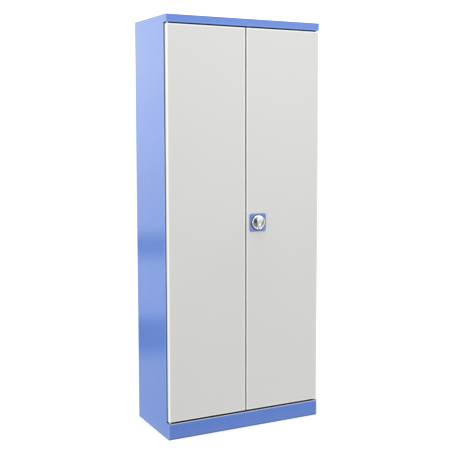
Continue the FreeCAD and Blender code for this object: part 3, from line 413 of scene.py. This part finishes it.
# Painted highlights along the side panels' front folds, the plinth's top and the header's lower edge, and
# painted shade behind the doors, in the gap above the plinth, along the right and top edges and by the floor
sheetBands = {
    "side_panel": [
        edgeBand(1, frontY, 4.0, 9.0, 0.30, "pale"),
        edgeBand(1, behindDoors, 7.0, 12.0, 0.35, "pale", doorZone),
        edgeBand(1, behindDoors, 1.5, 2.5, 0.90, "dark", doorZone),
        edgeBand(2, 0.0, 1.5, 4.5, 0.60, "dark"),
    ],
    "plinth_front": [
        edgeBand(2, plinthTop, -3.0, -6.0, 0.80, "edge", frontFace),
        edgeBand(1, frontY, 0.7, 0.1, 1.00, "gap", plinthRoll),
        edgeBand(2, 0.0, 3.0, 7.5, 0.75, "dark"),
        edgeBand(0, cadHigh.x, -4.0, -7.5, 0.60, "dark", frontFace),
    ],
    "top_panel": [
        edgeBand(2, headerLow, 2.0, 6.0, 0.30, "edge", frontFace),
        edgeBand(2, cadHigh.z, -2.0, -5.0, 0.45, "dark", frontFace),
        edgeBand(0, cadHigh.x, -4.0, -7.5, 0.60, "dark", frontFace),
    ],
}
backWelds = {"across": spanOf("back_panel")[1].x - 7.0 * mm, "pitch": 0.13, "radius": 0.0032, "depth": 0.0004}

materials = {
    "carcass_paint": powderCoat("bluePowderCoat", carcassLook),
    "shelf_paint": powderCoat("shelfPowderCoat", shelfLook),
    "zinc_steel": platedSteel("zincPlatedSteel", zincLook),
    "nylon": mouldedPlastic("naturalNylon", nylonLook),
    "buffer_rubber": mouldedPlastic("blackRubber", rubberLook),
    "escutcheon_plastic": mouldedPlastic("bluePlastic", plateLook),
    "knob_chrome": platedSteel("brightChrome", chromeLook),
    "core_brass": platedSteel("nickelledBrass", coreLook),
}
# The painted-shade copy of the blue, for the parts inside the gaps
railShadePaint = powderCoat("railShadePowderCoat", railShadeLook)
nodePaints = {
    "plinth_front": powderCoat("plinth_frontCoat", dict(carcassLook, bands=sheetBands["plinth_front"])),
    "top_panel": powderCoat("top_panelCoat", dict(topLook, bands=sheetBands["top_panel"])),
    "back_panel": powderCoat("backPowderCoat", dict(carcassLook, welds=backWelds)),
}
for node in ("header_rail", "plinth_rail", "header_keeper_tabs", "plinth_keeper_tabs", "door_stops"):
    nodePaints[node] = railShadePaint
doorPaints = {}
for hand in ("left", "right"):
    doorLow, doorHigh = spanOf(f"{hand}_door_panel")
    doorPaints[hand] = powderCoat(f"{hand}DoorPowderCoat", dict(
        doorLook, rim=(doorLow, doorHigh), bands=doorBands(hand, doorLow, doorHigh)))
    nodePaints[f"{hand}_side_panel"] = powderCoat(f"{hand}SidePowderCoat", dict(
        sideLook, bands=sheetBands["side_panel"]))
print("materials made:", len({*materials.values(), *nodePaints.values(), *doorPaints.values()}))

slotOf = {entry["node"]: entry["material_slot"] for entry in frame["record"]["subparts"]}
for nodeName, nodeObject in frame["nodes"].items():
    if slotOf[nodeName] == "door_paint":
        paint = doorPaints["left" if nodeName.startswith("left") else "right"]
    else:
        paint = nodePaints.get(nodeName) or materials[slotOf[nodeName]]
    nodeObject.data.materials.clear()
    nodeObject.data.materials.append(paint)
print("CAD nodes painted")


# Meshes

mergeDistance = 1e-6


def linkObject(name, data):
    made = bpy.data.objects.new(name, data)
    bpy.context.scene.collection.objects.link(made)
    return made


# Merges doubled vertices, turns the faces outwards and smooths them
def closeMesh(mesh):
    solid = bmesh.new()
    solid.from_mesh(mesh)
    bmesh.ops.remove_doubles(solid, verts=solid.verts, dist=mergeDistance)
    bmesh.ops.recalc_face_normals(solid, faces=solid.faces)
    solid.to_mesh(mesh)
    solid.free()
    for face in mesh.polygons:
        face.use_smooth = True


def meshObject(name, vertices, faces, material):
    mesh = bpy.data.meshes.new(name)
    mesh.from_pydata([tuple(vertex) for vertex in vertices], [], faces)
    mesh.materials.append(material)
    closeMesh(mesh)
    return linkObject(name, mesh)


# A point of the lock: across and up from its axis, out from the front plane, in millimetres
def lockPoint(across, up, out):
    return lockAt + Vector((across * mm, -out * mm, up * mm))


# Loops of equal count joined row by row, and the last row joined to the first
def skin(name, rows, material):
    count = len(rows[0])
    vertices = [point for row in rows for point in row]
    faces = []
    for row in range(len(rows)):
        nextRow = (row + 1) % len(rows)
        for spot in range(count):
            after = (spot + 1) % count
            faces.append((row * count + spot, row * count + after,
                          nextRow * count + after, nextRow * count + spot))
    return meshObject(name, vertices, faces, material)


# Escutcheon: a square plate with soft corners, a rolled edge and a shallow seat round the knob

# seatProfile gives (beyond the seat's radius, below the plate's face)
plateSizes = {
    "half": (plateHigh.x - plateLow.x) / 2 / mm, "deep": (plateHigh.y - plateLow.y) / mm,
    "corner": 9.0, "leastCorner": 0.5, "edge": 2.6, "edgeSteps": 8, "around": 192,
    "seatRadius": 36.5, "seatProfile": ((0.8, 0.0), (0.3, 0.15), (0.0, 0.55), (-0.5, 0.7)), "bore": 10.3,
}


# Distance from the axis to a square's side, its corners rounded, along an angle
def squareReach(angle, half, corner):
    across, up = math.cos(angle), math.sin(angle)
    reach = half / max(abs(across), abs(up))
    inner = half - corner
    if abs(reach * across) <= inner or abs(reach * up) <= inner:
        return reach
    centre = Vector((math.copysign(inner, across), math.copysign(inner, up)))
    middle = Vector((across, up)).dot(centre)
    return middle + math.sqrt(max(corner ** 2 - (centre.length_squared - middle ** 2), 0.0))


def makeEscutcheon(sizes):
    edge, deep, seat = sizes["edge"], sizes["deep"], sizes["seatRadius"]
    angles = [math.tau * spot / sizes["around"] for spot in range(sizes["around"])]
    profile = [(0.0, 0.0), (0.0, deep - edge)]
    for step in range(1, sizes["edgeSteps"] + 1):
        turn = math.radians(90 / sizes["edgeSteps"] * step)
        profile.append((edge * (1 - math.cos(turn)), deep - edge + edge * math.sin(turn)))
    rows = []
    for inset, out in profile:
        half, corner = sizes["half"] - inset, max(sizes["corner"] - inset, sizes["leastCorner"])
        reaches = [squareReach(angle, half, corner) for angle in angles]
        rows.append([lockPoint(reach * math.cos(angle), reach * math.sin(angle), out)
                     for reach, angle in zip(reaches, angles)])
    circles = [(seat + beyond, deep - below) for beyond, below in sizes["seatProfile"]]
    circles += [(sizes["bore"], circles[-1][1]), (sizes["bore"], 0.0)]
    for radius, out in circles:
        rows.append([lockPoint(radius * math.cos(angle), radius * math.sin(angle), out) for angle in angles])
    return skin("escutcheonPlate", rows, materials["escutcheon_plastic"])


escutcheon = makeEscutcheon(plateSizes)
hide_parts("handle_escutcheon")
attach(escutcheon, "right_door")
print("escutcheon made")


# Geometry Nodes trees, in short

def newTree(name, inputs):
    tree = bpy.data.node_groups.new(name, "GeometryNodeTree")
    tree.interface.new_socket("Geometry", in_out="INPUT", socket_type="NodeSocketGeometry")
    tree.interface.new_socket("Geometry", in_out="OUTPUT", socket_type="NodeSocketGeometry")
    for label, kind in inputs.items():
        tree.interface.new_socket(label, in_out="INPUT", socket_type=kind)
    return tree, tree.nodes.new("NodeGroupInput").outputs, tree.nodes.new("NodeGroupOutput").inputs


def finishTree(tree, shape, finish, result):
    real = addNode(tree, "GeometryNodeRealizeInstances", {0: shape})
    painted = addNode(tree, "GeometryNodeSetMaterial", {"Geometry": real.outputs[0], "Material": finish})
    tree.links.new(painted.outputs[0], result["Geometry"])


# Runs a tree on a mesh of points and gives back a plain closed mesh
def growPiece(name, points, tree, values):
    source = bpy.data.meshes.new(f"{name}Points")
    source.from_pydata([tuple(point) for point in points], [], [])
    base = linkObject(f"{name}Base", source)
    grower = base.modifiers.new("grow", "NODES")
    grower.node_group = tree
    for item in tree.interface.items_tree:
        if item.in_out == "INPUT" and item.name in values:
            grower[item.identifier] = values[item.name]
    bpy.context.view_layer.update()
    grown = base.evaluated_get(bpy.context.evaluated_depsgraph_get())
    mesh = bpy.data.meshes.new_from_object(grown)
    mesh.name = name
    bpy.data.objects.remove(base)
    closeMesh(mesh)
    return linkObject(name, mesh)


# Turns a closed section of (radius, out) points round the lock's axis
def turnTree():
    tree, given, result = newTree("turnedPiece", {
        "Segments": "NodeSocketInt", "Rows": "NodeSocketInt", "Centre": "NodeSocketVector",
        "Finish": "NodeSocketMaterial"})
    around = maths(tree, "ADD", given["Segments"], 1)
    grid = addNode(tree, "GeometryNodeMeshGrid", {
        "Size X": 1.0, "Size Y": 1.0, "Vertices X": around, "Vertices Y": given["Rows"]})
    position = addNode(tree, "GeometryNodeInputPosition").outputs[0]
    spot = axesOf(tree, position)
    angle = maths(tree, "MULTIPLY", maths(tree, "ADD", spot[0], 0.5), math.tau)
    steps = maths(tree, "SUBTRACT", given["Rows"], 1)
    row = maths(tree, "ROUND", maths(tree, "MULTIPLY", maths(tree, "ADD", spot[1], 0.5), steps))
    sample = addNode(tree, "GeometryNodeSampleIndex", {
        "Geometry": given["Geometry"], "Value": position, "Index": row},
        data_type="FLOAT_VECTOR", domain="POINT")
    section = axesOf(tree, sample.outputs[0])
    turned = addNode(tree, "ShaderNodeCombineXYZ", {
        0: maths(tree, "MULTIPLY", section[0], maths(tree, "COSINE", angle)),
        1: maths(tree, "MULTIPLY", section[2], -1.0),
        2: maths(tree, "MULTIPLY", section[0], maths(tree, "SINE", angle))}).outputs[0]
    place = vectorMaths(tree, "ADD", turned, given["Centre"])
    moved = addNode(tree, "GeometryNodeSetPosition", {"Geometry": grid.outputs["Mesh"], "Position": place})
    closed = addNode(tree, "GeometryNodeMergeByDistance", {
        "Geometry": moved.outputs[0], "Distance": mergeDistance})
    finishTree(tree, closed.outputs[0], given["Finish"], result)
    return tree


turned = turnTree()


def turnedPiece(name, section, around, finish):
    points = [(radius * mm, 0.0, out * mm) for radius, out in section]
    return growPiece(name, points, turned, {
        "Segments": around, "Rows": len(section), "Centre": lockAt, "Finish": finish})


# Knob: a turned dish with a rolled rim, and a pear-shaped grip whose tail reaches over the rim

# rearBevel gives (in from the rim, out from the rear), wallTop (in from the wall, below the roll's
# middle), bowl (in from the wall, out from the floor) and flare (out, inset of the grip's outline)
knobSizes = {
    "rimRadius": 34.5, "rimRoll": 3.5, "rollSteps": 12, "rear": 6.8, "front": 13.8, "floor": 9.2, "boss": 9.5,
    "rearBevel": ((1.2, 0.0), (0.35, 0.35), (0.0, 1.2)), "wallTop": (0.1, 0.6),
    "bowl": ((0.7, 0.55), (1.9, 0.1), (4.0, 0.0)), "around": 160,
    "head": 18.5, "rise": 14.2, "tail": 4.8, "leastTail": 0.8, "drop": 31.6, "crest": 26.6, "barrel": 7.1,
    "headSteps": 48, "sideSteps": 16, "tailSteps": 24, "turnDegrees": -7.0,
    "crestShares": (0.12, 0.3, 0.55, 0.8, 1.0),
    "flare": ((8.9, -0.2), (9.6, 0.5), (11.0, 1.0), (13.5, 1.5), (17.0, 1.8), (20.5, 1.9), (22.6, 2.1),
              (24.2, 2.7), (25.3, 3.6), (25.9, 4.8)),
}


def dishSection(sizes):
    outer, roll, rear, floor = sizes["rimRadius"], sizes["rimRoll"], sizes["rear"], sizes["floor"]
    middle, wall = sizes["front"] - roll, outer - 2 * roll
    section = [(sizes["boss"], rear)]
    section += [(outer - inward, rear + out) for inward, out in sizes["rearBevel"]]
    for step in range(sizes["rollSteps"] + 1):
        turn = math.pi / sizes["rollSteps"] * step
        section.append((outer - roll + roll * math.cos(turn), middle + roll * math.sin(turn)))
    section.append((wall - sizes["wallTop"][0], middle - sizes["wallTop"][1]))
    section += [(wall - inward, floor + out) for inward, out in sizes["bowl"]]
    return section + [(sizes["boss"], floor), (sizes["boss"], rear)]


def arcPoints(radius, up, start, sweep, steps):
    turns = [start + sweep * step / steps for step in range(steps + 1)]
    return [(radius * math.cos(turn), up + radius * math.sin(turn)) for turn in turns]


def pointBetween(start, end, share):
    return start[0] + (end[0] - start[0]) * share, start[1] + (end[1] - start[1]) * share


# Points round two circles, one above the axis and a small one below, and along the lines that join them
def pearOutline(sizes, inset):
    head, tail = sizes["head"] - inset, max(sizes["tail"] - inset, sizes["leastTail"])
    slope = math.asin((tail - head) / (sizes["rise"] + sizes["drop"]))
    above = arcPoints(head, sizes["rise"], slope, math.pi - 2 * slope, sizes["headSteps"])
    below = arcPoints(tail, -sizes["drop"], math.pi - slope, math.pi + 2 * slope, sizes["tailSteps"])
    shares = [step / sizes["sideSteps"] for step in range(1, sizes["sideSteps"])]
    return (above + [pointBetween(above[-1], below[0], share) for share in shares]
            + below + [pointBetween(below[-1], above[0], share) for share in shares])


# A grip outline turned about the axis, as the knob stands a little off plumb in the photo
def gripOutline(sizes, inset):
    turn = math.radians(sizes["turnDegrees"])
    return [(across * math.cos(turn) - up * math.sin(turn), across * math.sin(turn) + up * math.cos(turn))
            for across, up in pearOutline(sizes, inset)]


def makeGrip(sizes):
    rows = [[lockPoint(*point, out) for point in gripOutline(sizes, inset)] for out, inset in sizes["flare"]]
    shoulder, inset = sizes["flare"][-1]
    outline = gripOutline(sizes, inset)
    bore = []
    for across, up in outline:
        turn = math.atan2(up, across)
        bore.append((sizes["barrel"] * math.cos(turn), sizes["barrel"] * math.sin(turn)))
    for share in sizes["crestShares"]:
        out = shoulder + (sizes["crest"] - shoulder) * math.sin(share * math.pi / 2)
        rows.append([lockPoint(*pointBetween(start, end, share), out) for start, end in zip(outline, bore)])
    rows.append([lockPoint(*point, sizes["flare"][0][0]) for point in bore])
    return skin("knobGrip", rows, materials["knob_chrome"])


# A thin dark disc on the floor of the recess round the grip, painted shade in the bowl
recessSizes = {"inner": 9.6, "outer": 26.2, "low": 9.3, "high": 9.7, "bevel": 0.1, "around": 128}
recessShadeLook = dict(rubberLook, colour=rgb(0.065, 0.070, 0.055), roughLow=0.22, roughHigh=0.32, specular=0.5,
                  dustLow=0.75, dustHeights=(-0.016, 0.004), dustColour=rgb(0.40, 0.39, 0.31))


def makeRecess(sizes):
    inner, outer, low, high = sizes["inner"], sizes["outer"], sizes["low"], sizes["high"]
    section = [(inner, low), (outer, low), (outer, high - sizes["bevel"]), (outer - sizes["bevel"], high),
               (inner, high), (inner, low)]
    return turnedPiece("knobRecessShade", section, sizes["around"], mouldedPlastic("recessShadeDisc", recessShadeLook))


dish = turnedPiece("knobDish", dishSection(knobSizes), knobSizes["around"], materials["knob_chrome"])
grip = makeGrip(knobSizes)
for piece in (dish, grip):
    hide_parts("knob")
    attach(piece, "knob")
recess = makeRecess(recessSizes)
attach(recess, "knob")
print("knob made:", len(dish.data.polygons), "and", len(grip.data.polygons), "faces")


# Spot welds: low round marks in rows along the stiffeners inside each door

weldSizes = {"radius": 2.6, "rise": 0.25, "pitch": 120.0, "flangeInset": 7.0, "endInset": 30.0, "gauge": 1.0}
markShape = {"around": 14, "topShare": 0.62}


def markTree(shape):
    tree, given, result = newTree("weldMarks", {
        "Radius": "NodeSocketFloat", "Rise": "NodeSocketFloat", "Finish": "NodeSocketMaterial"})
    disc = addNode(tree, "GeometryNodeMeshCone", {
        "Vertices": shape["around"], "Side Segments": 1, "Fill Segments": 1,
        "Radius Top": maths(tree, "MULTIPLY", given["Radius"], shape["topShare"]),
        "Radius Bottom": given["Radius"], "Depth": given["Rise"]})
    facing = addNode(tree, "GeometryNodeTransform", {
        "Geometry": disc.outputs["Mesh"], "Rotation": (math.radians(-90), 0.0, 0.0)})
    marks = addNode(tree, "GeometryNodeInstanceOnPoints", {
        "Points": given["Geometry"], "Instance": facing.outputs[0]})
    finishTree(tree, marks.outputs[0], given["Finish"], result)
    return tree


marks = markTree(markShape)


def growMarks(name, points, sizes, finish):
    return growPiece(name, points, marks, {
        "Radius": sizes["radius"] * mm, "Rise": sizes["rise"] * mm, "Finish": finish})


def doorWelds(hand, sizes):
    low, high = spanOf(f"{hand}_door_stiffener")
    pitch, inset = sizes["pitch"] * mm, sizes["flangeInset"] * mm
    count = int((high.z - low.z - 2 * sizes["endInset"] * mm) / pitch) + 1
    start = (low.z + high.z - (count - 1) * pitch) / 2
    points = [(x, low.y + sizes["gauge"] * mm, start + step * pitch)
              for x in (low.x + inset, high.x - inset) for step in range(count)]
    made = growMarks(f"{hand}DoorWelds", points, sizes, doorPaints[hand])
    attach(made, f"{hand}_door")


for hand in ("left", "right"):
    doorWelds(hand, weldSizes)
screwSizes = {"radius": 3.8, "rise": 2.2, "spread": 29.0, "seat": 2.2}


# Round heads of the four screws that hold the escutcheon and the lock case, inside the right door
def lockScrews(sizes):
    seat = sizes["seat"] + sizes["rise"] / 2
    points = [lockPoint(x * sizes["spread"], z * sizes["spread"], -seat) for x in (-1, 1) for z in (-1, 1)]
    made = growMarks("lockScrews", points, sizes, materials["zinc_steel"])
    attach(made, "right_door")


lockScrews(screwSizes)
print("door welds and lock screws made")


# Floor, light and camera

stageLook = {
    "half": 60.0, "floorColour": rgb(0.90, 0.90, 0.90), "floorRough": 0.9, "floorGlow": 0.26,
    "mottleScale": 3.0, "mottleTone": 0.985,
}


# The floor shows plain white, and neither lights the part nor shows in it
def makeFloor(look):
    half = look["half"]
    corners = [(-half, -half, 0), (half, -half, 0), (half, half, 0), (-half, half, 0)]
    material, tree, shader, place = newMaterial("paleFloor")
    mottle = noise(tree, place, look["mottleScale"], detail=3.0)
    tone = mixColour(tree, mottle, shaded(look["floorColour"], look["mottleTone"]), look["floorColour"])
    giveInputs(tree, shader, {
        "Base Color": tone, "Roughness": look["floorRough"],
        "Emission Color": look["floorColour"], "Emission Strength": look["floorGlow"]})
    floor = meshObject("floor", corners, [(0, 1, 2, 3)], material)
    floor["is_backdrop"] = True
    floor.visible_diffuse = False
    floor.visible_glossy = False


makeFloor(stageLook)

lights = {
    "leftSoftbox": {"at": (-4.5, 0.7, 0.7), "aim": (-0.4, 0.0, 0.6), "size": (2.4, 1.4), "power": 68.0},
    "frontRightSoftbox": {"at": (2.6, -4.6, 2.0), "aim": (0.0, 0.0, 1.1), "size": (2.2, 1.6), "power": 36.0},
    "topSoftbox": {"at": (-0.6, -1.2, 4.6), "aim": (0.0, 0.0, 0.8), "size": (1.3, 1.3), "power": 36.0},
}


def makeLight(name, spec):
    lamp = bpy.data.lights.new(name, "AREA")
    lamp.shape = "RECTANGLE"
    lamp.size, lamp.size_y = spec["size"]
    lamp.energy = spec["power"]
    made = linkObject(name, lamp)
    made.location = spec["at"]
    made.rotation_euler = (Vector(spec["aim"]) - Vector(spec["at"])).to_track_quat("-Z", "Y").to_euler()


for lightName, lightSpec in lights.items():
    makeLight(lightName, lightSpec)

# Places in the sky are parts of a direction of length 1: up for between, slots and both glows, and
# away from the viewer for rear
skyLook = {
    "colour": rgb(1.0, 1.0, 1.0), "between": (-0.42, -0.02), "below": 0.45, "above": 1.0,
    "slots": ((-0.1345, 0.006), (-0.2336, 0.013)), "slotFade": 0.013, "slotShare": 1.0, "rear": (0.2, 0.5),
    "glowRise": (-0.070, 0.075), "glowFall": (0.28, 0.45), "glow": 0.50,
}


# The sky dims below the horizon; behind the cabinet it glows just above it, and two dark slots
# low there show as the soft bands across the cabinet's side
def makeSky(look):
    world = bpy.data.worlds.new("studio")
    bpy.context.scene.world = world
    world.use_nodes = True
    tree = world.node_tree
    _, back, up = axesOf(tree, addNode(tree, "ShaderNodeTexCoord").outputs["Generated"])
    shade = remap(tree, up, *look["between"], look["below"], look["above"])
    rear = remap(tree, back, *look["rear"], 0.0, look["slotShare"])
    for height, half in look["slots"]:
        away = maths(tree, "ABSOLUTE", maths(tree, "SUBTRACT", up, height))
        dark = remap(tree, away, half, half + look["slotFade"], 1.0, 0.0)
        left = maths(tree, "SUBTRACT", 1.0, maths(tree, "MULTIPLY", dark, rear))
        shade = maths(tree, "MULTIPLY", shade, left)
    glow = maths(tree, "MULTIPLY", remap(tree, up, *look["glowRise"], 0.0, look["glow"]),
                 remap(tree, up, *look["glowFall"], 1.0, 0.0))
    shade = maths(tree, "ADD", shade, maths(tree, "MULTIPLY", glow, rear))
    giveInputs(tree, tree.nodes["Background"], {"Color": look["colour"], "Strength": shade})


makeSky(skyLook)
bpy.context.scene.view_settings.view_transform = "Standard"  # the photo's white is plain white

cameraSpec = {
    "eye": (-1.8823, -3.8668, 1.4505), "heading": (0.46872, 0.87875, -0.09007), "rollDegrees": -0.088,
    "sensor": 36.0, "lens": 69.485, "shiftX": -0.0750, "shiftY": -0.0468, "farthest": 250.0,
}


def makeCamera(spec):
    data = bpy.data.cameras.new("photoCamera")
    data.sensor_width = spec["sensor"]
    data.lens = spec["lens"]
    data.shift_x, data.shift_y = spec["shiftX"], spec["shiftY"]
    data.clip_end = spec["farthest"]
    made = linkObject("photoCamera", data)
    aim = Vector(spec["heading"]).to_track_quat("-Z", "Y").to_matrix().to_4x4()
    made.matrix_world = Matrix.Translation(spec["eye"]) @ aim @ Matrix.Rotation(
        math.radians(-spec["rollDegrees"]), 4, "Z")
    bpy.context.scene.camera = made


makeCamera(cameraSpec)
print("stage, lights and camera ready")
